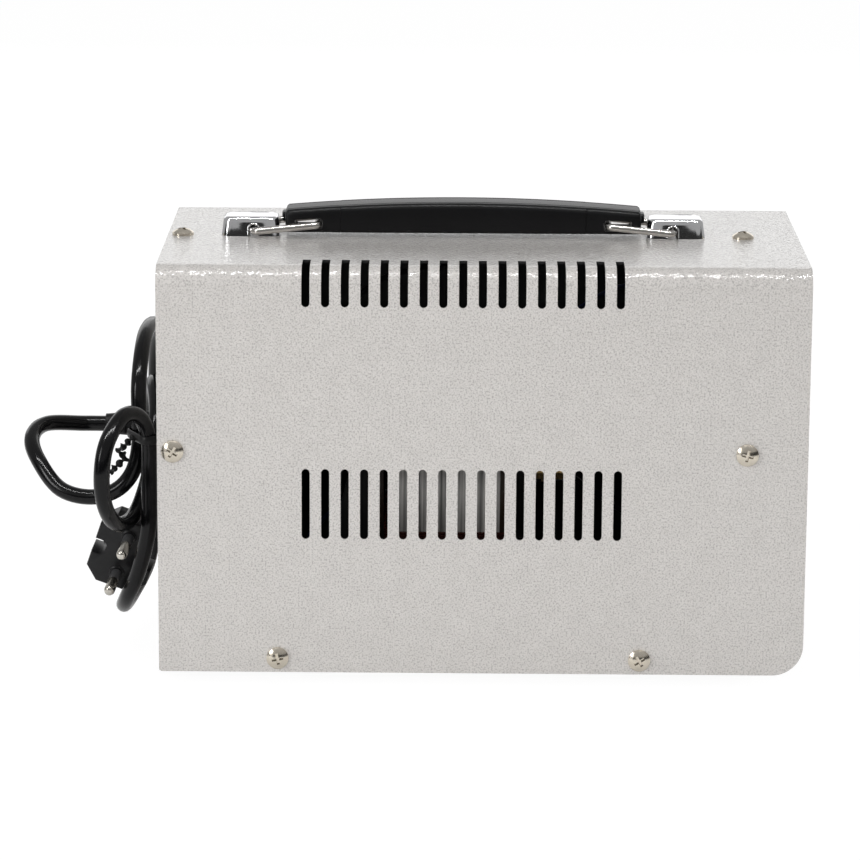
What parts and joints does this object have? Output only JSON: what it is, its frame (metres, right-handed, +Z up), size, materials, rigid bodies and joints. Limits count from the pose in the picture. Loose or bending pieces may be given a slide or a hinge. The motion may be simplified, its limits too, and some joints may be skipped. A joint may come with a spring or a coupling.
{
  "type": "variable autotransformer",
  "caption": "Bench variable autotransformer in a louvred sheet-steel case with a folding carry handle, dial knob, meter, outlet, switch and tied mains lead with plug.",
  "frame": {"origin": "under the middle of the case, on the surface that the feet stand on", "axes": "+X out of the front panel with the knob, -X out of the back panel with the mains lead, +Z up"},
  "size_m": [0.3443, 0.1723, 0.2004],
  "materials": {
    "case_paint": "light warm grey hammertone enamel",
    "chrome_plate": "polished chrome plate",
    "nickel_plate": "nickel plate, slightly warm",
    "zinc_steel": "zinc-plated steel",
    "core_steel": "rolled electrical steel, varnished",
    "magnet_wire": "enamelled copper wire",
    "brass": "plain brass",
    "aluminium": "cast, plain",
    "dial_face": "satin anodised with black figures",
    "insulation": "varnished glass-fibre board",
    "black_gloss": "moulded bakelite",
    "black_matte": "moulded, fine grain",
    "grip_rubber": "ribbed soft grip",
    "black_rubber": "moulded rubber",
    "cord_pvc": "flexible PVC sheath, soft sheen",
    "red_plastic": "translucent red",
    "white_plastic": "moulded",
    "scale_paint": "printed scale, off-white",
    "clear_plastic": "clear",
    "fuse_glass": "glass tube with metal ends",
    "carbon": "pressed carbon",
    "wire_pvc": "coloured hook-up wire"
  },
  "bodies": {
    "chassis": {"cover": "case_paint", "base_plate": "case_paint", "front_panel": "case_paint", "back_panel": "case_paint", "cover_screws": "nickel_plate", "panel_screws": "zinc_steel", "feet": "black_rubber", "foot_screws": "zinc_steel", "handle_brackets": "chrome_plate", "handle_screws": "zinc_steel", "core": "core_steel", "core_insulators": "insulation", "winding": "magnet_wire", "rear_seat": "insulation", "transformer_bracket": "zinc_steel", "bracket_screws": "zinc_steel", "clamp_disc": "aluminium", "clamp_bolts": "zinc_steel", "shaft_bushes": "brass", "panel_bush": "black_matte", "collector_ring": "brass", "stop_post": "brass", "dial_plate": "dial_face", "meter_case": "black_gloss", "meter_window": "clear_plastic", "scale_card": "scale_paint", "meter_magnet": "zinc_steel", "meter_nuts": "brass", "switch_body": "black_matte", "outlet_body": "black_gloss", "outlet_contacts": "brass", "outlet_earth": "brass", "outlet_nut": "black_matte", "fuse_holder": "black_matte", "terminal_block": "white_plastic", "terminal_screws": "brass", "earth_stud": "brass", "inner_wires": "wire_pvc", "strain_relief": "black_rubber", "mains_lead": "cord_pvc", "lead_tie": "cord_pvc", "plug_body": "black_matte", "plug_pins": "nickel_plate"},
    "rotor": {"shaft": "zinc_steel", "shaft_collar": "zinc_steel", "brush_arm": "aluminium", "brush_holder": "brass", "brush": "carbon", "brush_spring": "zinc_steel", "contact_washer": "brass", "knob": "black_gloss"},
    "meter_needle": {"needle": "black_matte"},
    "meter_zero": {"zero_screw": "black_gloss"},
    "switch_rocker": {"rocker": "red_plastic"},
    "handle_grip": {"grip": "grip_rubber"},
    "back_bail": {"bail_back": "nickel_plate"},
    "front_bail": {"bail_front": "nickel_plate"},
    "fuse_carrier": {"fuse_link": "fuse_glass"},
    "fuse_knob": {"fuse_cap": "black_matte"}
  },
  "joints": [
    {"name": "knob_turn", "type": "hinge", "parent": "chassis", "child": "rotor", "pos_m": [0, 0, 0.086], "axis": [-1, 0, 0], "range_deg": [0, 310]},
    {"name": "needle_swing", "type": "hinge", "parent": "chassis", "child": "meter_needle", "pos_m": [0.125, -0.031, 0.148], "axis": [-1, 0, 0], "range_deg": [0, 88], "stiffness_Nm_per_rad": 0.0002},
    {"name": "zero_adjust", "type": "hinge", "parent": "chassis", "child": "meter_zero", "pos_m": [0.13, -0.031, 0.138], "axis": [1, 0, 0], "range_deg": [-40, 40]},
    {"name": "rocker_turn", "type": "hinge", "parent": "chassis", "child": "switch_rocker", "pos_m": [0.1175, -0.038, 0.028], "axis": [0, -1, 0], "range_deg": [0, 20]},
    {"name": "handle_lift", "type": "slide", "parent": "chassis", "child": "handle_grip", "axis": [0, 0, 1], "range_m": [0, 0.0172]},
    {"name": "bail_back_turn", "type": "hinge", "parent": "chassis", "child": "back_bail", "pos_m": [-0.10185, 0.005, 0.1877], "axis": [0, -1, 0], "range_deg": [0, 37]},
    {"name": "bail_front_turn", "type": "hinge", "parent": "chassis", "child": "front_bail", "pos_m": [0.08415, 0.005, 0.1877], "axis": [0, 1, 0], "range_deg": [0, 37]},
    {"name": "fuse_pull", "type": "slide", "parent": "chassis", "child": "fuse_carrier", "axis": [1, 0, 0], "range_m": [0, 0.032]},
    {"name": "fuse_twist", "type": "hinge", "parent": "fuse_carrier", "child": "fuse_knob", "pos_m": [0.125, 0.038, 0.028], "axis": [-1, 0, 0], "range_deg": [0, 90]}
  ],
  "couplings": [
    {"joint": "bail_back_turn", "follows": "handle_lift", "rad_per_m": 37.5},
    {"joint": "bail_front_turn", "follows": "handle_lift", "rad_per_m": 37.5}
  ]
}
